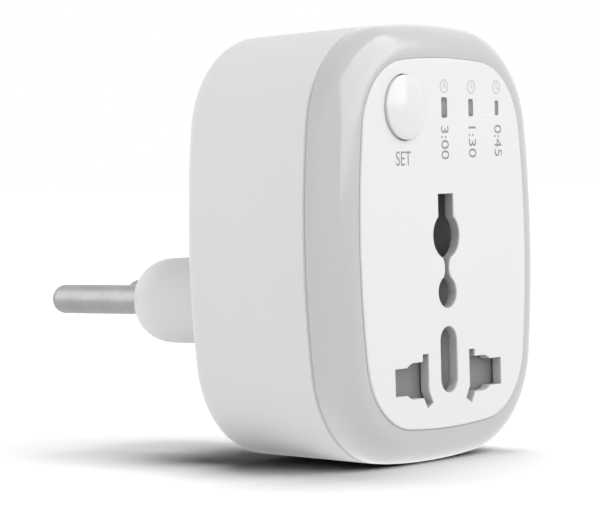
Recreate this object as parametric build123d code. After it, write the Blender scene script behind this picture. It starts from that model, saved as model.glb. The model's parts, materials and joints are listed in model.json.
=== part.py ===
from build123d import *
import os
from math import hypot

# Drawn face up in millimetres: X right across the face, Y up the face, Z out of the face.
# Zero lies midway between the plug pins on the nose of the plug. The part is stood up at the end.

# housing
half_width = 27.8
half_height = 34.1
side_bow = 140.0
top_bow = 130.0
corner_radius = 17.2
body_y = 8.8
body_depth = 31.1
seam_depth = 6.7
wall = 2.0
draft = 0.8
back_radius = 3.0
seam_bevel = 0.3
lip_share = 0.55
lip_length = 1.5
fit_gap = 0.1
moving_gap = 0.3

# face
panel_inset = 5.4
panel_thickness = 1.6
panel_edge = 0.3
panel_gap = 0.05
panel_proud = 0.3
bezel_round = 4.6
ledge_width = 0.8
ledge_depth = 2.0

# plug
boss_width = 35.3
boss_height = 13.7
boss_length = 23.2
boss_corner = 9.5
boss_round = 6.5
boss_pocket = (28.0, 8.0)
boss_pocket_corner = 2.0
nose_wall = 7.0
pin_radius = 2.4
pin_length = 19.0
pin_spacing = 19.0
pin_tip = 2.1
pin_fit = 0.05
neck_radius = 2.2
neck_out = 0.4
neck_taper = 1.2
collar_radius = 3.3
collar_length = 1.5
tail_radius = 1.4
tail_length = 4.0

# socket apertures, from the line between the two live holes
socket_y = body_y - 0.6114 * half_height
blade_edge = 14.5
blade_half = 2.13
round_x = pin_spacing / 2
round_hole = 2.8
slot_x = (5.55, 7.15)
slot_top = 3.95
tilt_slot = (1.8, 6.9)
tilt_centre = (7.0, -1.07)
tilt_angle = 30
earth_y = 0.6452 * half_height
earth_hole = 3.6
earth_slot = 2.1
earth_top = 0.8358 * half_height
keyhole_neck = (1.35, 0.6, 1.15)
small_y = 0.3871 * half_height
small_hole = 2.5
oblong = (4.6, 0.3044 * half_height)
oblong_y = 0.08 * half_height

# socket core
core_inset = 6.4
core_wall = 1.0
core_half = (16.8, 5.4)
core_low = -6.3
core_step = 8.4
core_top = earth_top + 1.7
core_back = body_depth - 7.1
chamber_x = (4.0, 15.6)
chamber_y = (-5.3, 7.2)
oblong_chamber = (2.6, -3.6, earth_y - earth_hole - 0.6)
earth_chamber = (4.2, earth_top + 0.7)
retainer_thickness = 1.6

# shutters and their springs
hinge_y = 5.6
hinge_depth = 2.7
shutter_x = (4.3, 15.3)
shutter_low = -5.0
shutter_thickness = 1.2
barrel_radius = 0.8
stub_radius = 0.6
stub_reach = 0.8
spring_x = 9.8
spring_pin = 0.5
spring_radius = 0.85
spring_wire = 0.25
spring_pitch = 0.45
spring_turns = 3
spring_legs = (4.0, 1.8)
spring_notch = 2.4

# contacts
contact_x = (5.0, 13.6)
strip = 0.6
mouth = (4.2, core_back - 10.0)
pinch = (1.9, core_back - 6.8)
heel = 2.9
heel_start = core_back - 3.8
strip_bend = 0.8
tab_x = (contact_x[0], contact_x[0] + 3.0)
tab_reach = 2.3

# control board
board_front = 7.5
board_thickness = 1.6
board_half = half_width - 7.8
board_y = (socket_y + core_top - body_y + 1.25, 0.8651 * half_height)
board_inset = 3.2
post_place = (0.6115 * half_width, board_y[0] + 2.4)
post_radius = 1.9
screw_radius = 0.8
screw_length = 5.5
screw_head = (1.8, 1.2)
screw_fit = 0.1
lead_radius = 0.4
lead_length = 1.2
lead_fit = 0.15

# button and switch
button_place = (-0.3813 * half_width, half_height - 13.1)
button_radius = 0.1452 * half_height
button_gap = 0.15
button_proud = 1.0
button_dome = 0.55
button_flange = button_radius + 0.95
flange_depth = (1.9, 2.7)
plunger_front = 2.9
plunger_radius = 1.75
plunger_gap = 0.15
plunger_length = 3.0
switch_side = 6.0
switch_front = 4.3
switch_bore = 6.6
switch_leg = 0.9

# indicator windows
window_y = half_height - 13.1
window_pitch = 0.2644 * half_width
windows = (
    ("left", 0.2, 1.6, 3.16),
    ("middle", 0.2 + window_pitch, 1.36, 2.7),
    ("right", 0.2 + 2 * window_pitch, 1.05, 2.35),
)
window_corner = 0.3
guide_recess = 0.12
guide_rim = 0.6
guide_end = 5.8
led_front = 6.0
led_side = 2.0

# parts on the back of the board
relay_x = (screw_head[0] + 0.4 - post_place[0], 0.1223 * half_width)
relay_y = (board_y[0] + 3.4, 0.7097 * half_height)
relay_height = body_depth - 15.5
relay_rows = (relay_y[0] + 2.0, relay_y[1] - 1.7)
relay_poles = (button_place[0] + switch_side / 2 + switch_leg + 0.8, relay_x[1] - 1.1)
varistor_x = 0.2374 * half_width
varistor_y = 0.6305 * half_height
varistor_radius = 0.225 * body_depth
varistor_thickness = 4.4
varistor_pitch = 7.5
varistor_stand = 1.0
capacitor_x = (0.3381 * half_width, 0.5252 * half_width)
capacitor_y = (board_y[0] + 3.4, board_y[0] + 15.4)
capacitor_height = 11.0
capacitor_pitch = 7.5
can_place = (0.6439 * half_width, board_y[0] + 9.1)
can_radius = 2.5
can_height = 11.0
can_pitch = 2.0
fuse_place = (-0.2158 * half_width, board_y[1] - 2.7)
fuse_radius = 1.3
fuse_length = 8.0
fuse_span = 12.0
chip_place = (0.1259 * half_width, board_y[0] + 3.6)
chip_size = (8.6, 3.9, 1.5)
chip_legs = 7
bridge_place = (0.4173 * half_width, board_y[0] + 2.4)
bridge_size = (4.0, 2.6, 1.4)
bridge_leg = 0.7

# wires
wire_radius = 0.9
wire_bend = 3.0
wire_land_y = board_y[0] + 1.5
feed_x = pin_spacing / 2
load_x = contact_x[0] + 1.2
wire_back = body_depth - 3.6

face_z = body_depth + boss_length
board_back = board_front + board_thickness


def level(depth):
    return face_z - depth


def outline(inset):
    side = side_bow - inset
    top = top_bow - inset
    corner = corner_radius - inset
    a = half_width - inset
    b = half_height - inset
    x0 = a - side
    y1 = b - top
    span = hypot(x0, y1)
    along = ((side - corner) ** 2 - (top - corner) ** 2 + span ** 2) / (2 * span)
    away = ((side - corner) ** 2 - along ** 2) ** 0.5
    ux = -x0 / span
    uy = y1 / span
    cx = x0 + along * ux - away * uy
    cy = along * uy + away * ux
    sx = x0 + (cx - x0) * side / (side - corner)
    sy = cy * side / (side - corner)
    tx = cx * top / (top - corner)
    ty = y1 + (cy - y1) * top / (top - corner)
    mx = (sx + tx) / 2 - cx
    my = (sy + ty) / 2 - cy
    mid = hypot(mx, my)
    mx = cx + corner * mx / mid
    my = cy + corner * my / mid
    edges = []
    for sign in (1, -1):
        edges.append(ThreePointArc((sign * sx, -sy), (sign * a, 0), (sign * sx, sy)))
        edges.append(ThreePointArc((-tx, sign * ty), (0, sign * b), (tx, sign * ty)))
        for way in (1, -1):
            edges.append(ThreePointArc((sign * sx, way * sy), (sign * mx, way * my), (sign * tx, way * ty)))
    return Pos(0, body_y) * make_face(edges)


def slab(sketch, near, far):
    return extrude(Pos(0, 0, level(far)) * sketch, far - near)


def block(xs, ys, near, far):
    size = Box(abs(xs[1] - xs[0]), ys[1] - ys[0], far - near)
    return Pos((xs[0] + xs[1]) / 2, (ys[0] + ys[1]) / 2, level((near + far) / 2)) * size


def drum(x, y, radius, near, far):
    return Pos(x, y, level((near + far) / 2)) * Cylinder(radius, far - near)


def area(x0, x1, y0, y1):
    return Pos((x0 + x1) / 2, (y0 + y1) / 2) * Rectangle(x1 - x0, y1 - y0)


def face_block(xs, ys, near, far):
    return block(xs, (body_y + ys[0], body_y + ys[1]), near, far)


def face_drum(place, radius, near, far):
    return drum(place[0], body_y + place[1], radius, near, far)


def ruled(first, near, second, far):
    return loft([Pos(0, 0, level(near)) * first, Pos(0, 0, level(far)) * second], ruled=True)


nodes = {}

# rear housing: drafted cup with a rounded back edge, carrying the plug
shell_start = seam_depth + seam_bevel
shell = ruled(outline(0), shell_start, outline(draft), body_depth)
back_edges = [e for e in shell.edges() if abs(e.center().Z - level(body_depth)) < 0.01]
shell = fillet(back_edges, back_radius)
shell += ruled(outline(seam_bevel), seam_depth, outline(0), shell_start)
boss = Pos(0, 0, boss_length / 2 + wall / 2) * Box(boss_width, boss_height, boss_length + wall)
nose_corners = [e for e in boss.edges().filter_by(Axis.Y) if e.center().Z < 0.01]
boss = fillet(nose_corners, boss_corner)
boss_edges = [e for e in boss.edges() if abs(abs(e.center().Y) - boss_height / 2) < 0.01]
boss_edges = [e for e in boss_edges if e.center().Z < boss_length + wall - 0.01]
boss = fillet(boss_edges, boss_round)
cavity = ruled(outline(wall), seam_depth, outline(wall + draft), body_depth - wall)
pocket = RectangleRounded(boss_pocket[0], boss_pocket[1], boss_pocket_corner)
pocket = extrude(Pos(0, 0, nose_wall) * pocket, boss_length + wall - nose_wall)
rebate = slab(outline(wall * lip_share), seam_depth, seam_depth + lip_length + fit_gap)
rear = shell + boss - cavity - pocket - rebate
for side in (1, -1):
    taper = Cone(pin_radius + pin_fit, neck_radius + pin_fit, neck_taper)
    rear -= Pos(side * round_x, 0, neck_taper / 2 - neck_out) * taper
    rear -= Pos(side * round_x, 0, nose_wall / 2) * Cylinder(neck_radius + pin_fit, nose_wall + 2)
nodes["rear_housing"] = rear

# front bezel: rounded ring with a ledge for the panel and a lip into the rear housing
bezel_end = seam_depth - seam_bevel
bezel = slab(outline(0), panel_proud, bezel_end)
front_edges = [e for e in bezel.edges() if abs(e.center().Z - level(panel_proud)) < 0.01]
bezel = fillet(front_edges, bezel_round)
bezel += ruled(outline(0), bezel_end, outline(seam_bevel), seam_depth)
bezel += slab(outline(wall * lip_share + fit_gap), seam_depth, seam_depth + lip_length)
bezel -= slab(outline(panel_inset - panel_gap), 0, panel_thickness)
bezel -= slab(outline(panel_inset + ledge_width), 0, panel_thickness + ledge_depth)
bezel -= slab(outline(wall), panel_thickness + ledge_depth, seam_depth + lip_length)
nodes["front_bezel"] = bezel

# face panel with the socket apertures, the button hole and the windows
live = area(round_x - 3.5, blade_edge, -blade_half, blade_half)
live += Pos(round_x, 0) * Circle(round_hole)
live += area(slot_x[0], round_x, -round_hole, round_hole)
live += area(slot_x[0], slot_x[1], -round_hole, slot_top)
live += Pos(*tilt_centre) * Rot(Z=-tilt_angle) * Rectangle(*tilt_slot)
apertures = live + mirror(live, Plane.YZ)
apertures += Pos(0, earth_y) * Circle(earth_hole)
apertures += area(-earth_slot, earth_slot, earth_y, earth_top)
neck_top = earth_y - earth_hole + 0.45
neck_low = small_y + small_hole - 0.45
neck_sides = []
for side in (1, -1):
    start = (side * keyhole_neck[0], neck_top)
    waist = (side * keyhole_neck[1], (neck_top + neck_low) / 2)
    finish = (side * keyhole_neck[2], neck_low)
    neck_sides.append(ThreePointArc(start, waist, finish))
for y, half in ((neck_top, keyhole_neck[0]), (neck_low, keyhole_neck[2])):
    neck_sides.append(Line((-half, y), (half, y)))
apertures += make_face(neck_sides)
apertures += Pos(0, small_y) * Circle(small_hole)
apertures += Pos(0, oblong_y) * SlotOverall(oblong[1], oblong[0], rotation=90)
panel = slab(outline(panel_inset), 0, panel_thickness)
rim = [e for e in panel.edges() if abs(e.center().Z - level(0)) < 0.01]
panel = fillet(rim, panel_edge)
panel -= slab(Pos(0, socket_y) * apertures, -1, panel_thickness + 1)
panel -= face_drum(button_place, button_radius + button_gap, -1, panel_thickness + 1)
for name, x, width, height in windows:
    hole = Pos(x, body_y + window_y) * RectangleRounded(width, height, window_corner)
    panel -= slab(hole, -1, panel_thickness + 1)
for side in (1, -1):
    place = (side * post_place[0], post_place[1])
    panel += face_drum(place, post_radius, panel_thickness, board_front)
    panel -= face_drum(place, screw_radius + screw_fit, panel_thickness, board_front)
nodes["face_panel"] = panel

# set button and the switch under it
dome_radius = (button_radius ** 2 + button_dome ** 2) / (2 * button_dome)
cap = face_drum(button_place, button_radius, -button_proud, flange_depth[1])
dome = Pos(button_place[0], body_y + button_place[1], level(-button_proud) - dome_radius)
cap = cap & dome * Sphere(dome_radius)
cap += face_drum(button_place, button_flange, *flange_depth)
cap += face_drum(button_place, plunger_radius, flange_depth[1], plunger_front)
nodes["set_button"] = cap
half = switch_side / 2
switch_xs = (button_place[0] - half, button_place[0] + half)
switch_ys = (button_place[1] - half, button_place[1] + half)
switch = face_block(switch_xs, switch_ys, switch_front, board_front)
switch -= face_drum(button_place, plunger_radius + plunger_gap, switch_front, switch_bore)
for y in (switch_ys[0] + switch_leg, switch_ys[1] - switch_leg):
    leg_xs = (switch_xs[0] - switch_leg, switch_xs[1] + switch_leg)
    switch += face_block(leg_xs, (y - switch_leg / 2, y + switch_leg / 2), board_front - 0.3, board_front)
nodes["switch_body"] = switch
plunger = face_drum(button_place, plunger_radius, plunger_front, plunger_front + plunger_length)
nodes["switch_plunger"] = plunger

# light guides and the lamps behind them
for name, x, width, height in windows:
    place = Pos(x, body_y + window_y)
    guide = slab(
        place * RectangleRounded(width - 2 * fit_gap, height - 2 * fit_gap, window_corner - fit_gap),
        guide_recess,
        guide_end,
    )
    rim_face = Rectangle(width + 2 * guide_rim, height + 2 * guide_rim)
    guide += slab(place * rim_face, panel_thickness, panel_thickness + guide_rim)
    nodes["light_guide_" + name] = guide
    lamp = slab(place * Rectangle(led_side, led_side), led_front + 0.5, board_front)
    lamp += slab(place * Circle(led_side * 0.4), led_front, led_front + 0.5)
    nodes["led_" + name] = lamp

# control board and what is soldered to it
relay_leads = [(relay_poles[0], relay_rows[0]), (relay_poles[0], relay_rows[1])]
relay_leads += [(relay_poles[1], sum(relay_rows) / 2 + 0.2), (relay_poles[1], relay_rows[1])]
varistor_leads = [(varistor_x, varistor_y + s * varistor_pitch / 2) for s in (1, -1)]
capacitor_mid = (sum(capacitor_x) / 2, sum(capacitor_y) / 2)
capacitor_leads = [(capacitor_mid[0], capacitor_mid[1] + s * capacitor_pitch / 2) for s in (1, -1)]
can_leads = [(can_place[0], can_place[1] + s * can_pitch / 2) for s in (1, -1)]
fuse_leads = [(fuse_place[0] + s * fuse_span / 2, fuse_place[1]) for s in (1, -1)]
board = slab(outline(board_inset), board_front, board_back)
board &= face_block((-board_half, board_half), board_y, board_front, board_back)
for side in (1, -1):
    place = (side * post_place[0], post_place[1])
    board -= face_drum(place, screw_radius + screw_fit, board_front, board_back)
drilled = relay_leads + varistor_leads + capacitor_leads + can_leads + fuse_leads
for place in drilled:
    board -= face_drum(place, lead_radius + lead_fit, board_front, board_back)
nodes["control_board"] = board

relay = face_block(relay_x, relay_y, board_back, board_back + relay_height)
relay = fillet(relay.edges().filter_by(Axis.Z), 0.6)
for place in relay_leads:
    relay += face_drum(place, lead_radius, board_front - lead_length, board_back)
nodes["relay"] = relay

varistor_depth = board_back + varistor_stand + varistor_radius
varistor = Rot(Y=90) * Cylinder(varistor_radius, varistor_thickness)
varistor = fillet(varistor.edges().filter_by(GeomType.CIRCLE), 1.6)
varistor = Pos(varistor_x, body_y + varistor_y, level(varistor_depth)) * varistor
for place in varistor_leads:
    varistor += face_drum(place, lead_radius, board_front - lead_length, varistor_depth - varistor_radius / 2)
nodes["surge_varistor"] = varistor

box = face_block(capacitor_x, capacitor_y, board_back, board_back + capacitor_height)
box = fillet(box.edges().filter_by(Axis.Z), 0.5)
for place in capacitor_leads:
    box += face_drum(place, lead_radius, board_front - lead_length, board_back)
nodes["dropper_capacitor"] = box

can = face_drum(can_place, can_radius, board_back, board_back + can_height)
can = fillet(can.edges().sort_by(Axis.Z)[0], 0.5)
for place in can_leads:
    can += face_drum(place, lead_radius, board_front - lead_length, board_back)
nodes["reservoir_capacitor"] = can

fuse_depth = board_back + fuse_radius + 0.4
fuse = Rot(Y=90) * Cylinder(fuse_radius, fuse_length) + Rot(Y=90) * Cylinder(lead_radius, fuse_span)
fuse = Pos(fuse_place[0], body_y + fuse_place[1], level(fuse_depth)) * fuse
for place in fuse_leads:
    fuse += face_drum(place, lead_radius, board_front - lead_length, fuse_depth + lead_radius)
nodes["thermal_fuse"] = fuse

chip_front = board_front - chip_size[2]
chip = Pos(chip_place[0], body_y + chip_place[1], level(chip_front + chip_size[2] / 2 - 0.1))
chip = chip * Box(chip_size[0], chip_size[1], chip_size[2] - 0.2)
for i in range(chip_legs):
    x = chip_place[0] + (i - (chip_legs - 1) / 2) * 1.27
    legs = face_block(
        (x - 0.2, x + 0.2),
        (chip_place[1] - chip_size[1] / 2 - 0.9, chip_place[1] + chip_size[1] / 2 + 0.9),
        board_front - 0.4,
        board_front,
    )
    chip += legs
nodes["timer_chip"] = chip

bridge = Pos(bridge_place[0], body_y + bridge_place[1], level(board_front - bridge_size[2] / 2))
bridge = bridge * Box(*bridge_size)
for side in (1, -1):
    x = bridge_place[0] + side * 1.25
    reach = bridge_size[1] / 2 + bridge_leg
    leg_ys = (bridge_place[1] - reach, bridge_place[1] + reach)
    bridge += face_block((x - 0.3, x + 0.3), leg_ys, board_front - 0.3, board_front)
nodes["bridge_rectifier"] = bridge

screws = []
for side in (1, -1):
    place = (side * post_place[0], post_place[1])
    screw = face_drum(place, screw_radius, board_back - screw_length, board_back)
    screw += face_drum(place, screw_head[0], board_back, board_back + screw_head[1])
    screws.append(screw)
nodes["board_screws"] = Compound(children=screws)

# socket core behind the panel, closed at the back by the retainer
core_face = area(-core_half[0], core_half[0], core_low, core_step)
core_face += area(-core_half[1], core_half[1], core_step, core_top)
core_face = (Pos(0, socket_y) * core_face) & outline(core_inset)
chamber = area(chamber_x[0], chamber_x[1], *chamber_y)
chambers = chamber + mirror(chamber, Plane.YZ)
chambers = (Pos(0, socket_y) * chambers) & outline(core_inset + core_wall)
middle = area(-oblong_chamber[0], oblong_chamber[0], oblong_chamber[1], oblong_chamber[2])
middle += area(-earth_chamber[0], earth_chamber[0], oblong_chamber[2], earth_chamber[1])
core = slab(core_face - chambers - Pos(0, socket_y) * middle, panel_thickness, core_back)
hinge_z = level(hinge_depth)
hinge_line = socket_y + hinge_y
spring_z = hinge_z - spring_radius
for side in (1, -1):
    mid = side * (shutter_x[0] + shutter_x[1]) / 2
    hole = shutter_x[1] - shutter_x[0] + 2 * (stub_reach + fit_gap)
    core -= Pos(mid, hinge_line, hinge_z) * Rot(Y=90) * Cylinder(stub_radius + fit_gap, hole)
    anchor_x = side * (spring_x + spring_pitch * spring_turns / 2)
    core -= Pos(anchor_x, socket_y + chamber_y[1], spring_z) * Box(0.9, 1.4, 0.9)
nodes["socket_core"] = core
retainer = slab(core_face, core_back, core_back + retainer_thickness)

# shutters: flaps hung on stub pins, each with a torsion spring
for side, name in ((1, "line"), (-1, "neutral")):
    low = socket_y + shutter_low
    flap = block(
        (side * shutter_x[0], side * shutter_x[1]),
        (low, hinge_line),
        hinge_depth - barrel_radius,
        hinge_depth - barrel_radius + shutter_thickness,
    )
    flap &= slab(outline(core_inset + core_wall + moving_gap), 0, core_back)
    mid = side * (shutter_x[0] + shutter_x[1]) / 2
    length = shutter_x[1] - shutter_x[0]
    axis = Pos(mid, hinge_line, hinge_z) * Rot(Y=90)
    flap += axis * Cylinder(barrel_radius, length)
    notch = Pos(side * spring_x, hinge_line, hinge_z)
    flap -= notch * Box(spring_notch, 3 * barrel_radius, 3 * barrel_radius)
    flap += axis * Cylinder(spring_pin, length)
    flap += axis * (Cylinder(stub_radius, length + 2 * stub_reach) - Cylinder(barrel_radius, length))
    nodes[name + "_shutter"] = flap
    turns = spring_turns * spring_pitch
    coil = Helix(spring_pitch, turns, spring_radius)
    first = Line(coil @ 0 - (coil % 0) * spring_legs[0], coil @ 0)
    last = Line(coil @ 1, coil @ 1 + (coil % 1) * spring_legs[1])
    path = Wire([first, coil, last])
    section = Plane(origin=first @ 0, z_dir=first % 0) * Circle(spring_wire / 2)
    spring = sweep(section, path=path)
    frame = Plane(origin=(spring_x - turns / 2, hinge_line, hinge_z), x_dir=(0, 0, -1), z_dir=(1, 0, 0))
    spring = frame * spring
    if side < 0:
        spring = mirror(spring, Plane.YZ)
    nodes[name + "_shutter_spring"] = spring

# contacts: sprung jaws with a soldering tab through the retainer
heel_depth = core_back - strip / 2
jaw_line = FilletPolyline(
    (socket_y + mouth[0], level(mouth[1])),
    (socket_y + pinch[0], level(pinch[1])),
    (socket_y + heel, level(heel_start)),
    (socket_y + heel, level(heel_depth)),
    (socket_y - heel, level(heel_depth)),
    (socket_y - heel, level(heel_start)),
    (socket_y - pinch[0], level(pinch[1])),
    (socket_y - mouth[0], level(mouth[1])),
    radius=strip_bend,
)
jaw_face = trace(jaw_line, strip)
tab_y = (socket_y + heel - strip - 0.2, socket_y + heel - 0.2)
for side, name in ((1, "line"), (-1, "neutral")):
    middle_x = side * sum(contact_x) / 2
    width = contact_x[1] - contact_x[0]
    jaw = Plane.YZ.offset(middle_x - width / 2) * jaw_face
    jaw = extrude(jaw, width, dir=(1, 0, 0))
    jaw &= slab(outline(core_inset + core_wall + fit_gap), 0, core_back)
    tab_xs = sorted((side * tab_x[0], side * tab_x[1]))
    jaw += block(tab_xs, tab_y, core_back - strip, core_back + retainer_thickness + tab_reach)
    nodes[name + "_contact"] = jaw
    gap_xs = (tab_xs[0] - fit_gap, tab_xs[1] + fit_gap)
    gap_ys = (tab_y[0] - fit_gap, tab_y[1] + fit_gap)
    retainer -= block(gap_xs, gap_ys, core_back, core_back + retainer_thickness)
nodes["contact_retainer"] = retainer

# plug pins and the wires to and from the board
land_y = body_y + wire_land_y
land_z = level(board_back)
run_z = level(wire_back)
for side, name in ((1, "line"), (-1, "neutral")):
    pin = Pos(0, 0, -(neck_out + pin_length) / 2) * Cylinder(pin_radius, pin_length - neck_out)
    pin = fillet(pin.edges().sort_by(Axis.Z)[0], pin_tip)
    pin += Pos(0, 0, neck_taper / 2 - neck_out) * Cone(pin_radius, neck_radius, neck_taper)
    pin += Pos(0, 0, (nose_wall + neck_taper - neck_out) / 2) * Cylinder(neck_radius, nose_wall + neck_out - neck_taper)
    pin += Pos(0, 0, nose_wall + collar_length / 2) * Cylinder(collar_radius, collar_length)
    tail_z = nose_wall + collar_length
    pin += Pos(0, 0, tail_z + tail_length / 2) * Cylinder(tail_radius, tail_length)
    nodes[name + "_pin"] = Pos(side * round_x, 0, 0) * pin
    feed = FilletPolyline(
        (side * feed_x, 0, tail_z + tail_length),
        (side * feed_x, 0, run_z),
        (side * feed_x, land_y, run_z),
        (side * feed_x, land_y, land_z),
        radius=wire_bend,
    )
    load = FilletPolyline(
        (side * load_x, tab_y[1], run_z),
        (side * load_x, land_y, run_z),
        (side * load_x, land_y, land_z),
        radius=wire_bend,
    )
    for kind, route in (("feed", feed), ("load", load)):
        section = Plane(origin=route @ 0, z_dir=route % 0) * Circle(wire_radius)
        nodes[name + "_" + kind + "_wire"] = sweep(section, path=route)

os.makedirs("parts", exist_ok=True)
for name, shape in nodes.items():
    stood = Rot(X=90) * shape
    export_step(stood, "parts/" + name + ".step")
    print(name, len(stood.solids()), round(stood.volume, 1))
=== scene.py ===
import bpy
import bmesh
import json
import math
from mathutils import Matrix, Vector

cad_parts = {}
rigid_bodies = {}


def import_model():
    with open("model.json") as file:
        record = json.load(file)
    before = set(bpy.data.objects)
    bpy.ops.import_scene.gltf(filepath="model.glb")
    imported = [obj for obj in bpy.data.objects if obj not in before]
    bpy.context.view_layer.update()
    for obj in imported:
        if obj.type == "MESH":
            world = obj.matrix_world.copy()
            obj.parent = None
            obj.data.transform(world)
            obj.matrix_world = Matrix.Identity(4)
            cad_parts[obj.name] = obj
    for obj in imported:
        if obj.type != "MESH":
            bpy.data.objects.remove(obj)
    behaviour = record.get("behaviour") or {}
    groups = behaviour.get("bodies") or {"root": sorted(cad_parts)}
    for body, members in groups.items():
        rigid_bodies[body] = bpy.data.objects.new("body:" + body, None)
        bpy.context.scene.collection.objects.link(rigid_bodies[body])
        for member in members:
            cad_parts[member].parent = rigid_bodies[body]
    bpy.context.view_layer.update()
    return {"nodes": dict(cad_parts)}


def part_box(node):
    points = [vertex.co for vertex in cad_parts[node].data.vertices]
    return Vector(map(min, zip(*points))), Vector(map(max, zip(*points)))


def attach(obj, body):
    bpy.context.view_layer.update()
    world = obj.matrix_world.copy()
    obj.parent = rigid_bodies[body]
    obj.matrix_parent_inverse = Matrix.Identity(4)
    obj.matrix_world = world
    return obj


for leftover in list(bpy.data.objects):
    bpy.data.objects.remove(leftover)

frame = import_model()
nodes = frame["nodes"]
mm = 0.001
sides = ("line", "neutral")
print("frame loaded:", len(nodes), "solids")

# where the face and the underside lie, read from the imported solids
panelLow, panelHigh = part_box("face_panel")
faceMid = Vector(((panelLow.x + panelHigh.x) / 2, panelLow.y, (panelLow.z + panelHigh.z) / 2))
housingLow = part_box("rear_housing")[0]


def metres(lengths):
    return [length * mm for length in lengths]


def addToScene(thing):
    bpy.context.scene.collection.objects.link(thing)


# node helpers

def put(tree, kind, inputs=None, **settings):
    made = tree.nodes.new(kind)
    for key, value in settings.items():
        setattr(made, key, value)
    for key, value in (inputs or {}).items():
        if isinstance(value, bpy.types.NodeSocket):
            tree.links.new(value, made.inputs[key])
        else:
            made.inputs[key].default_value = value
    return made


def feed(tree, shader, inputs):
    for key, value in inputs.items():
        tree.links.new(value, shader.inputs[key])


def startFinish(name):
    finish = bpy.data.materials.new(name)
    finish.use_nodes = True
    tree = finish.node_tree
    tree.nodes.clear()
    shader = put(tree, "ShaderNodeBsdfPrincipled")
    out = put(tree, "ShaderNodeOutputMaterial")
    tree.links.new(shader.outputs["BSDF"], out.inputs["Surface"])
    place = put(tree, "ShaderNodeTexCoord").outputs["Object"]
    return finish, tree, shader, place


def inMillimetres(tree, place, stretch=(1, 1, 1), turn=0):
    scale = [share / mm for share in stretch]
    rotation = (math.radians(turn), 0, 0)
    mapped = put(tree, "ShaderNodeMapping", {"Vector": place, "Rotation": rotation, "Scale": scale})
    return mapped.outputs["Vector"]


def noise(tree, place, perMm, detail=3.0, rough=0.5):
    made = put(tree, "ShaderNodeTexNoise", {"Vector": place, "Scale": perMm, "Detail": detail, "Roughness": rough})
    return made.outputs["Fac"]


def spread(tree, value, low, high, fromLow=0.3, fromHigh=0.7, ramp="LINEAR"):
    ranged = put(tree, "ShaderNodeMapRange", {"Value": value, "From Min": fromLow, "From Max": fromHigh,
                                              "To Min": low, "To Max": high}, interpolation_type=ramp)
    return ranged.outputs["Result"]


def mixColour(tree, factor, first, second):
    pair = [end if isinstance(end, bpy.types.NodeSocket) else (*end, 1) for end in (first, second)]
    mixed = put(tree, "ShaderNodeMix", {"Factor": factor, 6: pair[0], 7: pair[1]}, data_type="RGBA")
    return mixed.outputs[2]  # 6, 7 and 2 are the colour sockets


def axisOf(tree, place, axis):
    return put(tree, "ShaderNodeSeparateXYZ", {"Vector": place}).outputs[axis]


def maths(tree, operation, first, second=0.0):
    return put(tree, "ShaderNodeMath", {0: first, 1: second}, operation=operation).outputs[0]


def tinted(colour, amount):
    return tuple(min(1.0, c * amount) for c in colour)


def toned(tree, cloud, colour, low, high):
    return mixColour(tree, spread(tree, cloud, 0, 1), tinted(colour, low), tinted(colour, high))


plasticSkin = {"cloudDetail": 4.0, "fineDetail": 2.0, "wear": 3, "ior": 1.5}


def mouldedPlastic(look):
    finish, tree, shader, place = startFinish(look["name"])
    grid = inMillimetres(tree, place)
    cloud = noise(tree, grid, look["cloud"], plasticSkin["cloudDetail"])
    tone = toned(tree, cloud, look["colour"], 1 - look["shift"], 1 + look["shift"])
    wear = noise(tree, grid, look["cloud"] * plasticSkin["wear"], plasticSkin["fineDetail"])
    pits = noise(tree, grid, look["grain"], plasticSkin["fineDetail"])
    skin = put(tree, "ShaderNodeBump", {"Height": pits, "Strength": look["bite"], "Distance": look["depth"] * mm})
    feed(tree, shader, {"Base Color": tone, "Roughness": spread(tree, wear, *look["rough"]),
                        "Normal": skin.outputs["Normal"]})
    shader.inputs["IOR"].default_value = plasticSkin["ior"]
    if "coat" in look:
        shader.inputs["Coat Weight"].default_value = look["coat"]
        shader.inputs["Coat Roughness"].default_value = look["coatRough"]
    return finish, tree, shader, place, tone


# outer finishes

housingLook = {"name": "housingSatin", "colour": (0.80, 0.80, 0.80), "shift": 0.008, "cloud": 0.05,
               "rough": (0.34, 0.42), "grain": 9.0, "bite": 0.10, "depth": 0.01}
bezelLook = {"name": "bezelGloss", "colour": (0.57, 0.57, 0.575), "shift": 0.006, "cloud": 0.04,
             "rough": (0.16, 0.20), "grain": 0.35, "bite": 0.03, "depth": 0.01, "coat": 1.0, "coatRough": 0.12}
panelLook = {"name": "panelMatte", "colour": (0.88, 0.88, 0.88), "shift": 0.006, "cloud": 0.06,
             "rough": (0.55, 0.65), "grain": 12.0, "bite": 0.14, "depth": 0.012, "skin": (0.168, 0.28),
             "wall": (0.52, 0.52, 0.525), "wallLow": (0.66, 0.66, 0.665), "turn": (-10, 12), "holes": (18, 20)}
buttonLook = {"name": "buttonGloss", "colour": (0.86, 0.86, 0.86), "shift": 0.005, "cloud": 0.08,
              "rough": (0.12, 0.18), "grain": 0.5, "bite": 0.02, "depth": 0.01, "coat": 0.3, "coatRough": 0.08}
# core grey is partly its own colour, partly painted shade: dark up high, pale low down
coreLook = {"name": "coreGrey", "colour": (0.39, 0.39, 0.395), "shift": 0.03, "cloud": 0.1,
            "rough": (0.5, 0.6), "grain": 8.0, "bite": 0.15, "depth": 0.015,
            "low": (0.78, 0.78, 0.785), "turn": (-8, 8)}
# shutter grey is partly its own colour, partly painted shade: darkened to the tone of the shade inside the holes
shutterLook = {"name": "shutterGrey", "colour": (0.26, 0.26, 0.265), "shift": 0.02, "cloud": 0.15,
               "rough": (0.42, 0.52), "grain": 8.0, "bite": 0.12, "depth": 0.012}
blackLook = {"name": "blackMoulded", "colour": (0.018, 0.018, 0.02), "shift": 0.15, "cloud": 0.4,
             "rough": (0.4, 0.55), "grain": 10.0, "bite": 0.2, "depth": 0.015}


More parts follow.
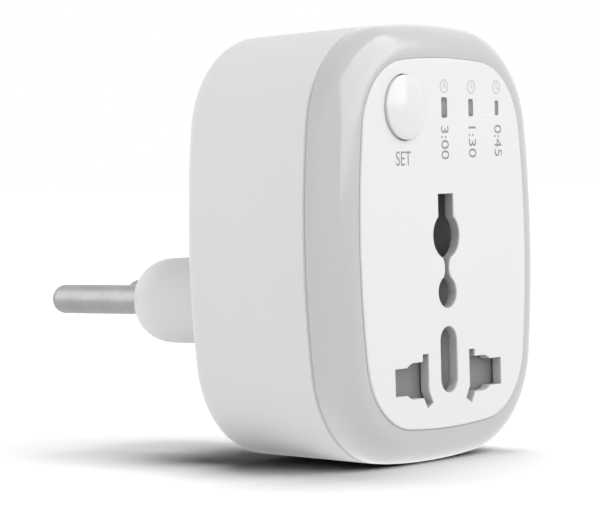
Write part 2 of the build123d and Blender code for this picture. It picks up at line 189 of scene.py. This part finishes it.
def panelFinish(look):
    # the face is pale; the walls of its holes get painted shade, a grey that turns paler towards the bottom
    finish, tree, shader, place, tone = mouldedPlastic(look)
    across, depth, height = (axisOf(tree, place, axis) for axis in "XYZ")
    wide, tall = metres(look["holes"])
    inside = spread(tree, maths(tree, "SUBTRACT", depth, faceMid.y), 0, 1, *metres(look["skin"]), "SMOOTHSTEP")
    inside = maths(tree, "MULTIPLY", inside, maths(tree, "LESS_THAN", maths(tree, "ABSOLUTE", across), wide))
    inside = maths(tree, "MULTIPLY", inside, maths(tree, "LESS_THAN", height, tall))
    # painted shade on the hole walls: darker grey up high, paler low down
    wall = mixColour(tree, spread(tree, height, 0, 1, *metres(look["turn"])), look["wallLow"], look["wall"])
    feed(tree, shader, {"Base Color": mixColour(tree, inside, tone, wall)})
    return finish


def coreFinishOf(look):
    # painted shade: the moulding is coloured darker higher up and paler low down, round the live holes
    finish, tree, shader, place, tone = mouldedPlastic(look)
    paintedShadeUpward = spread(tree, axisOf(tree, place, "Z"), 0, 1, *metres(look["turn"]))
    feed(tree, shader, {"Base Color": mixColour(tree, paintedShadeUpward, look["low"], tone)})
    return finish


# finishes of the pins and the inner pieces

nickelLook = {"name": "nickelTurned", "colour": (0.38, 0.38, 0.38), "run": (0.15, 6, 0.15), "fine": 1.0,
              "rough": (0.36, 0.48), "bite": 0.12}
brassLook = {"name": "brassStrip", "colour": (0.72, 0.50, 0.20), "run": (0.3, 3, 3), "fine": 1.0,
             "rough": (0.25, 0.42), "bite": 0.15}
steelLook = {"name": "steelZinc", "colour": (0.55, 0.55, 0.57), "run": (2, 2, 2), "fine": 1.2,
             "rough": (0.28, 0.45), "bite": 0.15}
metalSkin = {"lineDetail": 4.0, "lineRough": 0.6, "cloud": 0.3, "tint": (0.93, 1.05), "depth": 0.006}


def metalFinish(look):
    finish, tree, shader, place = startFinish(look["name"])
    run = inMillimetres(tree, place, look["run"])
    lines = noise(tree, run, look["fine"], metalSkin["lineDetail"], metalSkin["lineRough"])
    cloud = noise(tree, inMillimetres(tree, place), metalSkin["cloud"])
    cut = put(tree, "ShaderNodeBump", {"Height": lines, "Strength": look["bite"], "Distance": metalSkin["depth"] * mm})
    feed(tree, shader, {"Base Color": toned(tree, cloud, look["colour"], *metalSkin["tint"]),
                        "Roughness": spread(tree, lines, *look["rough"]), "Normal": cut.outputs["Normal"]})
    shader.inputs["Metallic"].default_value = 1.0
    return finish


guideLook = {"colour": (0.25, 0.25, 0.255), "ends": (0.14, 0.14, 0.145), "middle": 21.0, "fade": (0.6, 1.5),
             "cloud": 0.9, "cloudDetail": 2.0, "tint": (0.94, 1.06), "rough": (0.18, 0.26), "coat": 0.4}


def guideFinish(look):
    # smoked window: darker towards its two ends
    finish, tree, shader, place = startFinish("guideSmoked")
    height = maths(tree, "SUBTRACT", axisOf(tree, place, "Z"), faceMid.z + look["middle"] * mm)
    ends = spread(tree, maths(tree, "ABSOLUTE", height), 0, 1, *metres(look["fade"]))
    cloud = noise(tree, inMillimetres(tree, place), look["cloud"], look["cloudDetail"])
    tone = toned(tree, cloud, look["colour"], *look["tint"])
    feed(tree, shader, {"Base Color": mixColour(tree, ends, tone, look["ends"]),
                        "Roughness": spread(tree, cloud, *look["rough"])})
    shader.inputs["Coat Weight"].default_value = look["coat"]
    return finish


lensLook = {"colour": (0.74, 0.76, 0.70), "phosphor": (0.78, 0.66, 0.22), "dots": 0.9, "edge": (0.15, 0.5),
            "cloud": 3.0, "rough": (0.1, 0.2)}


def lensFinish(look):
    # clear lamp spotted with the yellow of its phosphor
    finish, tree, shader, place = startFinish("lensClear")
    grid = inMillimetres(tree, place)
    dots = put(tree, "ShaderNodeTexVoronoi", {"Vector": grid, "Scale": look["dots"]}).outputs["Distance"]
    clear = spread(tree, dots, 0, 1, *look["edge"])
    feed(tree, shader, {"Base Color": mixColour(tree, clear, look["phosphor"], look["colour"]),
                        "Roughness": spread(tree, noise(tree, grid, look["cloud"]), *look["rough"])})
    return finish


boardLook = {"mask": (0.012, 0.105, 0.035), "track": (0.03, 0.19, 0.07), "pad": (0.62, 0.60, 0.52),
             "turn": 90, "tracks": 0.32, "gap": 0.07, "gapSoft": 0.05, "run": 1.7, "row": 0.5, "offset": 0.37,
             "pads": 0.28, "padEdge": (0.10, 0.13), "cloud": 0.8, "rough": (0.28, 0.40), "bite": 0.3, "depth": 0.03}


def boardFinish(look):
    # green mask over copper tracks, with tinned patches
    finish, tree, shader, place = startFinish("boardMask")
    grid = inMillimetres(tree, place, turn=look["turn"])
    tracks = put(tree, "ShaderNodeTexBrick", {"Vector": grid, "Scale": look["tracks"], "Mortar Size": look["gap"],
                                              "Mortar Smooth": look["gapSoft"], "Brick Width": look["run"],
                                              "Row Height": look["row"]}, offset=look["offset"]).outputs["Fac"]
    base = mixColour(tree, tracks, look["mask"], look["track"])
    pads = put(tree, "ShaderNodeTexVoronoi", {"Vector": grid, "Scale": look["pads"]}).outputs["Distance"]
    patch = spread(tree, pads, 1, 0, *look["padEdge"])
    raised = put(tree, "ShaderNodeBump", {"Height": tracks, "Strength": look["bite"], "Distance": look["depth"] * mm})
    feed(tree, shader, {"Base Color": mixColour(tree, patch, base, look["pad"]),
                        "Roughness": spread(tree, noise(tree, grid, look["cloud"]), *look["rough"]),
                        "Normal": raised.outputs["Normal"]})
    return finish


canLook = {"sleeve": (0.012, 0.012, 0.02), "stripe": (0.46, 0.47, 0.48), "metal": (0.62, 0.62, 0.63),
           "stripeIn": (0.7, 0.65), "crownIn": (0.5, 0.45), "cloud": 0.8, "tint": (1.0, 1.5), "rough": (0.25, 0.38)}


def canFinish(look):
    # shrunk sleeve with a pale polarity stripe, bare metal on the crown
    finish, tree, shader, place = startFinish("canSleeve")
    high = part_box("reservoir_capacitor")[1]
    stripe = spread(tree, axisOf(tree, place, "X"), 0, 1, *[high.x - inset for inset in metres(look["stripeIn"])])
    crown = spread(tree, axisOf(tree, place, "Y"), 0, 1, *[high.y - inset for inset in metres(look["crownIn"])])
    cloud = noise(tree, inMillimetres(tree, place), look["cloud"])
    body = toned(tree, cloud, look["sleeve"], *look["tint"])
    tone = mixColour(tree, crown, mixColour(tree, stripe, body, look["stripe"]), look["metal"])
    feed(tree, shader, {"Base Color": tone, "Metallic": crown, "Roughness": spread(tree, cloud, *look["rough"])})
    return finish


fuseLook = {"tube": (0.78, 0.75, 0.70), "cap": (0.60, 0.60, 0.60), "band": (0.45, 0.16, 0.12),
            "capFrom": (3.3, 3.4), "bandTo": (0.5, 0.55), "cloud": 0.7, "tint": (0.95, 1.0), "rough": (0.18, 0.3)}


def fuseFinish(look):
    # glazed tube with a colour band and tinned ends
    finish, tree, shader, place = startFinish("fuseGlazed")
    low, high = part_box("thermal_fuse")
    off = maths(tree, "ABSOLUTE", maths(tree, "SUBTRACT", axisOf(tree, place, "X"), (low.x + high.x) / 2))
    ends = spread(tree, off, 0, 1, *metres(look["capFrom"]))
    band = spread(tree, off, 1, 0, *metres(look["bandTo"]))
    cloud = noise(tree, inMillimetres(tree, place), look["cloud"])
    tube = toned(tree, cloud, look["tube"], *look["tint"])
    tone = mixColour(tree, ends, mixColour(tree, band, tube, look["band"]), look["cap"])
    feed(tree, shader, {"Base Color": tone, "Metallic": ends, "Roughness": spread(tree, cloud, *look["rough"])})
    return finish


caseLooks = {
    "relay": {"name": "relayCase", "colour": (0.02, 0.05, 0.24), "shift": 0.06, "cloud": 0.2,
              "rough": (0.25, 0.38), "grain": 6.0, "bite": 0.08, "depth": 0.01},
    "surge_varistor": {"name": "varistorDip", "colour": (0.015, 0.09, 0.30), "shift": 0.12, "cloud": 0.25,
                       "rough": (0.22, 0.45), "grain": 1.2, "bite": 0.35, "depth": 0.06},
    "dropper_capacitor": {"name": "capacitorBox", "colour": (0.70, 0.40, 0.04), "shift": 0.05, "cloud": 0.2,
                          "rough": (0.3, 0.42), "grain": 5.0, "bite": 0.1, "depth": 0.012},
}
wireLooks = {"line": {"name": "wireBrown", "colour": (0.075, 0.028, 0.012)},
             "neutral": {"name": "wireBlue", "colour": (0.02, 0.06, 0.26)}}
wireSleeve = {"shift": 0.08, "cloud": 0.3, "rough": (0.42, 0.58), "grain": 4.0, "bite": 0.15, "depth": 0.015}


def giveFinish(name, finish):
    piece = nodes[name]
    piece.data.materials.clear()
    piece.data.materials.append(finish)


giveFinish("rear_housing", mouldedPlastic(housingLook)[0])
giveFinish("front_bezel", mouldedPlastic(bezelLook)[0])
giveFinish("face_panel", panelFinish(panelLook))
giveFinish("set_button", mouldedPlastic(buttonLook)[0])
coreFinish = coreFinishOf(coreLook)
shutterFinish = mouldedPlastic(shutterLook)[0]
blackFinish = mouldedPlastic(blackLook)[0]
nickel = metalFinish(nickelLook)
brass = metalFinish(brassLook)
steel = metalFinish(steelLook)
smoked = guideFinish(guideLook)
lens = lensFinish(lensLook)
for name in ("socket_core", "contact_retainer"):
    giveFinish(name, coreFinish)
for name in ("switch_body", "switch_plunger", "timer_chip", "bridge_rectifier"):
    giveFinish(name, blackFinish)
for side in sides:
    giveFinish(side + "_shutter", shutterFinish)
    giveFinish(side + "_shutter_spring", steel)
    giveFinish(side + "_contact", brass)
    giveFinish(side + "_pin", nickel)
    sleeve = mouldedPlastic({**wireSleeve, **wireLooks[side]})[0]
    giveFinish(side + "_feed_wire", sleeve)
    giveFinish(side + "_load_wire", sleeve)
for spot in ("left", "middle", "right"):
    giveFinish("light_guide_" + spot, smoked)
    giveFinish("led_" + spot, lens)
giveFinish("control_board", boardFinish(boardLook))
giveFinish("board_screws", steel)
giveFinish("reservoir_capacitor", canFinish(canLook))
giveFinish("thermal_fuse", fuseFinish(fuseLook))
for name, look in caseLooks.items():
    giveFinish(name, mouldedPlastic(look)[0])
print("finishes on", len(nodes), "solids")


# lettering and small signs printed on the face

inkLook = {"name": "inkGrey", "colour": (0.32, 0.32, 0.325), "shift": 0.05, "cloud": 1.5,
           "rough": (0.5, 0.65), "grain": 14.0, "bite": 0.1, "depth": 0.004}
paleInkLook = {"name": "inkPale", "colour": (0.62, 0.62, 0.625), "shift": 0.04, "cloud": 1.5,
               "rough": (0.5, 0.65), "grain": 14.0, "bite": 0.1, "depth": 0.004}
ink = mouldedPlastic(inkLook)[0]
paleInk = mouldedPlastic(paleInkLook)[0]
film = 0.012 * mm  # thickness of the print


def printPiece(name, mesh, finish):
    piece = bpy.data.objects.new(name, mesh)
    addToScene(piece)
    mesh.materials.clear()
    mesh.materials.append(finish)
    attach(piece, "housing")


def facePlace(x, z, turned=False):
    spot = faceMid + Vector((x * mm, -film, z * mm))
    if turned:
        axes = ((0, 0, -1), (1, 0, 0), (0, -1, 0))
    else:
        axes = ((1, 0, 0), (0, 0, 1), (0, -1, 0))
    turn = Matrix(axes).transposed().to_4x4()
    return Matrix.Translation(spot) @ turn


labels = {
    "setLabel": {"text": "SET", "x": -11.05, "z": 13.2, "size": (3.9, 2.2), "turned": False},
    "timeLabelLeft": {"text": "3:00", "x": 0.2, "z": 15.55, "size": (5.2, 2.0), "turned": True},
    "timeLabelMiddle": {"text": "1:30", "x": 7.8, "z": 15.6, "size": (4.9, 2.0), "turned": True},
    "timeLabelRight": {"text": "0:45", "x": 15.1, "z": 15.8, "size": (5.0, 2.0), "turned": True},
}
letterShape = {"steps": 6, "half": 0.5}  # half of the film to each side


def makeLabel(name, look):
    words = bpy.data.curves.new(name + "Curve", "FONT")
    words.body = look["text"]
    words.resolution_u = letterShape["steps"]
    words.extrude = letterShape["half"]
    holder = bpy.data.objects.new(name + "Holder", words)
    addToScene(holder)
    bpy.context.view_layer.update()
    graph = bpy.context.evaluated_depsgraph_get()
    mesh = bpy.data.meshes.new_from_object(holder.evaluated_get(graph))
    bpy.data.objects.remove(holder)
    xs = [v.co.x for v in mesh.vertices]
    ys = [v.co.y for v in mesh.vertices]
    wide, tall = max(xs) - min(xs), max(ys) - min(ys)
    centre = Matrix.Translation((-(max(xs) + min(xs)) / 2, -(max(ys) + min(ys)) / 2, 0))
    fit = Matrix.Diagonal((look["size"][0] * mm / wide, look["size"][1] * mm / tall, film, 1))
    mesh.transform(facePlace(look["x"], look["z"], look["turned"]) @ fit @ centre)
    printPiece(name, mesh, ink)


for name, look in labels.items():
    makeLabel(name, look)

clockSign = {"x": (0.2, 7.75, 14.9), "z": 24.3, "radius": 1.1, "line": 0.2, "hands": ((0.0, 0.7), (120.0, 0.55)),
             "steps": 40, "thick": 1.5, "lift": 0.6}


def ringOf(shape, radius, steps):
    turns = [2 * math.pi * i / steps for i in range(steps)]
    return [shape.verts.new((radius * math.cos(turn), radius * math.sin(turn), 0)) for turn in turns]


def makeClockSign(name, x, look):
    # thin ring with two hands
    shape = bmesh.new()
    steps = look["steps"]
    outer = ringOf(shape, look["radius"], steps)
    inner = ringOf(shape, look["radius"] - look["line"], steps)
    for i in range(steps):
        j = (i + 1) % steps
        shape.faces.new((outer[i], outer[j], inner[j], inner[i]))
    for angle, reach in look["hands"]:
        way = Vector((math.sin(math.radians(angle)), math.cos(math.radians(angle)), 0))
        side = Vector((way.y, -way.x, 0)) * look["line"] / 2
        shape.faces.new([shape.verts.new(p) for p in (-side, side, way * reach + side, way * reach - side)])
    raised = bmesh.ops.extrude_face_region(shape, geom=shape.faces[:])["geom"]
    underside = [v for v in raised if isinstance(v, bmesh.types.BMVert)]
    bmesh.ops.translate(shape, verts=underside, vec=(0, 0, -1))
    bmesh.ops.recalc_face_normals(shape, faces=shape.faces[:])
    mesh = bpy.data.meshes.new(name)
    shape.to_mesh(mesh)
    shape.free()
    fit = Matrix.Diagonal((mm, mm, film * look["thick"], 1)) @ Matrix.Translation((0, 0, look["lift"]))
    mesh.transform(facePlace(x, look["z"]) @ fit)
    printPiece(name, mesh, paleInk)


for spot, x in zip(("Left", "Middle", "Right"), clockSign["x"]):
    makeClockSign("clockSign" + spot, x, clockSign)
print("face lettering placed")


# edges broken a little, as moulded and stamped pieces have them

edgeBreaks = {"face_panel": 0.04, "set_button": 0.08, "line_pin": 0.03, "neutral_pin": 0.03,
              "line_shutter": 0.08, "neutral_shutter": 0.08, "socket_core": 0.10}
edgeLook = {"weld": 0.0004, "angle": 40, "segments": 2}


def breakEdges(name, width, look):
    piece = nodes[name]
    weld = piece.modifiers.new("weld", "WELD")
    weld.merge_threshold = look["weld"] * mm
    edge = piece.modifiers.new("edge", "BEVEL")
    edge.limit_method = "ANGLE"
    edge.angle_limit = math.radians(look["angle"])
    edge.width = width * mm
    edge.segments = look["segments"]
    smooth = piece.modifiers.new("smooth", "WEIGHTED_NORMAL")
    smooth.keep_sharp = False


for name, width in edgeBreaks.items():
    breakEdges(name, width, edgeLook)
print("edges broken on", len(edgeBreaks), "solids")


# stage: pale floor, soft lamps, white background

white = (1, 1, 1, 1)
floorLook = {"reach": 8.0, "cells": 4, "below": 0.05, "seen": 1.07, "bounce": 0.70, "mirrored": 1.0,
             "shade": {"middle": (0, -31), "half": (30, 20), "ramp": (0.6, 1)}}


def bouncedLess(tree, rays, times):
    return maths(tree, "LESS_THAN", rays["Diffuse Depth"], times - 0.5)


def throwBack(tree, look, height):
    # strength of the light from the floor: none from under the part
    shade = look["shade"]
    spot = put(tree, "ShaderNodeNewGeometry").outputs["Position"]
    away = put(tree, "ShaderNodeVectorMath", {0: spot, 1: (*metres(shade["middle"]), height)}, operation="SUBTRACT")
    away = put(tree, "ShaderNodeVectorMath", {0: away.outputs[0], 1: (*metres(shade["half"]), 1)}, operation="DIVIDE")
    away = put(tree, "ShaderNodeVectorMath", {0: away.outputs[0]}, operation="LENGTH")
    return spread(tree, away.outputs["Value"], 0, look["bounce"], *shade["ramp"], "SMOOTHSTEP")


def makeFloor(look):
    shape = bmesh.new()
    bmesh.ops.create_grid(shape, x_segments=look["cells"], y_segments=look["cells"], size=look["reach"])
    mesh = bpy.data.meshes.new("floor")
    shape.to_mesh(mesh)
    shape.free()
    floor = bpy.data.objects.new("floor", mesh)
    floor.location = (0, 0, housingLow.z - look["below"] * mm)
    addToScene(floor)
    finish = bpy.data.materials.new("floorPale")
    finish.use_nodes = True
    tree = finish.node_tree
    tree.nodes.clear()
    rays = put(tree, "ShaderNodeLightPath").outputs
    matte = put(tree, "ShaderNodeBsdfDiffuse", {"Color": (look["seen"], look["seen"], look["seen"], 1)})
    strength = throwBack(tree, look, floor.location.z)
    card = put(tree, "ShaderNodeEmission", {"Color": white, "Strength": strength})
    plain = put(tree, "ShaderNodeEmission", {"Color": white, "Strength": look["mirrored"]})
    mirrored = maths(tree, "MAXIMUM", rays["Is Glossy Ray"], rays["Is Transmission Ray"])
    mirrored = maths(tree, "MULTIPLY", mirrored, bouncedLess(tree, rays, 1))  # only what the camera sees mirrored
    firstBounce = maths(tree, "MULTIPLY", rays["Is Diffuse Ray"], bouncedLess(tree, rays, 2))
    bounced = put(tree, "ShaderNodeMixShader", {0: firstBounce, 1: matte.outputs[0], 2: card.outputs[0]})
    mixed = put(tree, "ShaderNodeMixShader", {0: mirrored, 1: bounced.outputs[0], 2: plain.outputs[0]})
    out = put(tree, "ShaderNodeOutputMaterial")
    tree.links.new(mixed.outputs[0], out.inputs["Surface"])
    finish.cycles.emission_sampling = "NONE"
    mesh.materials.append(finish)
    return floor


floor = makeFloor(floorLook)

skyLook = {"fill": 0.04, "seen": 1.0}


def makeSky(look):
    sky = bpy.data.worlds.new("studio")
    bpy.context.scene.world = sky
    sky.use_nodes = True
    tree = sky.node_tree
    tree.nodes.clear()
    rays = put(tree, "ShaderNodeLightPath").outputs
    seen = maths(tree, "MAXIMUM", rays["Is Camera Ray"], rays["Is Glossy Ray"])
    seen = maths(tree, "MAXIMUM", seen, rays["Is Transmission Ray"])
    seen = maths(tree, "MULTIPLY", seen, bouncedLess(tree, rays, 1))
    fill = put(tree, "ShaderNodeBackground", {"Color": white, "Strength": look["fill"]})
    plain = put(tree, "ShaderNodeBackground", {"Color": white, "Strength": look["seen"]})
    mixed = put(tree, "ShaderNodeMixShader", {0: seen, 1: fill.outputs[0], 2: plain.outputs[0]})
    out = put(tree, "ShaderNodeOutputWorld")
    tree.links.new(mixed.outputs[0], out.inputs["Surface"])


makeSky(skyLook)

# the lamps light the part, one of them the pins alone and one the bezel alone, and the roof lights the floor
lampBase = {"aim": (0, -35, 9), "far": 0.60, "size": (0.60, 0.50), "shows": False, "bounces": 0, "on": "part"}
lamps = {
    "lampFace": {"from": (0.193, -0.775, 0.602), "far": 0.84, "size": (1.40, 1.10), "glow": 1.53,
                 "shows": True, "bounces": 4},
    "lampRight": {"from": (0.95, -0.30, 0.20), "glow": 0.85, "bounces": 4},
    "lampLeft": {"from": (-0.95, 0.05, 0.24), "glow": 1.91},
    "lampBack": {"from": (0.10, 0.95, 0.30), "glow": 1.6},
    "lampTop": {"from": (0.0, -0.05, 1.0), "size": (0.60, 0.60), "glow": 0.80},
    "lampPins": {"from": (-0.66, 0.62, 0.42), "size": (0.50, 0.62), "glow": 1.0, "shows": True, "on": "pins"},
    "lampLow": {"from": (-0.25, 0.10, -0.96), "glow": 1.2, "on": "bezel"},
}
lit = {key: bpy.data.collections.new(key + "Lit") for key in ("part", "pins", "bezel", "floor")}
lit["floor"].objects.link(floor)
for piece in bpy.data.objects:
    if piece.type == "MESH" and piece.name != "floor":
        lit["part"].objects.link(piece)
for side in sides:
    lit["pins"].objects.link(nodes[side + "_pin"])
lit["bezel"].objects.link(nodes["front_bezel"])


def makeLamp(name, look):
    lamp = bpy.data.lights.new(name, "AREA")
    lamp.shape = "RECTANGLE"
    lamp.size, lamp.size_y = look["size"]
    lamp.energy = look["glow"] * math.pi * look["size"][0] * look["size"][1]
    lamp.cycles.max_bounces = look["bounces"]
    stand = bpy.data.objects.new(name, lamp)
    way = Vector(look["from"]).normalized()
    stand.location = Vector(metres(look["aim"])) + way * look["far"]
    stand.rotation_euler = way.to_track_quat("Z", "Y").to_euler()
    addToScene(stand)
    stand.light_linking.receiver_collection = lit[look["on"]]
    stand.light_linking.blocker_collection = lit["part"]  # the floor hides no lamp
    stand.visible_glossy = look["shows"]


for name, look in lamps.items():
    makeLamp(name, {**lampBase, **look})

roofs = {
    "roofFront": {"from": (0.1, -1.1, 1.0), "strength": 2.05, "spread": 60},
    "roofBack": {"from": (0.31, 0.31, 1.0), "strength": 2.25, "spread": 44},
}


def makeRoof(name, look):
    # wide light from above, which lays the shadow on the floor
    roof = bpy.data.lights.new(name, "SUN")
    roof.energy = look["strength"]
    roof.angle = math.radians(look["spread"])
    roof.cycles.max_bounces = 0
    stand = bpy.data.objects.new(name, roof)
    stand.rotation_euler = Vector(look["from"]).to_track_quat("Z", "Y").to_euler()
    addToScene(stand)
    stand.light_linking.receiver_collection = lit["floor"]


for name, look in roofs.items():
    makeRoof(name, look)

camLook = {"place": (-355.954, -298.513, 19.947), "right": (0.60778176, -0.79372406, -0.02456515),
           "up": (0.03749105, -0.00221922, 0.9992945), "ahead": (0.7932186, 0.60827394, -0.02840874),
           "lens": 166.57, "sensor": 36, "clip": (0.01, 50)}


def makeCamera(look):
    lensData = bpy.data.cameras.new("camera")
    lensData.sensor_fit = "HORIZONTAL"
    lensData.sensor_width = look["sensor"]
    lensData.lens = look["lens"]
    lensData.clip_start, lensData.clip_end = look["clip"]
    camera = bpy.data.objects.new("camera", lensData)
    back = -Vector(look["ahead"])
    turn = Matrix((look["right"], look["up"], back)).transposed().to_4x4()
    camera.matrix_world = Matrix.Translation(Vector(look["place"]) * mm) @ turn
    addToScene(camera)
    bpy.context.scene.camera = camera


makeCamera(camLook)
bpy.context.scene.view_settings.view_transform = "Standard"
print("stage set")
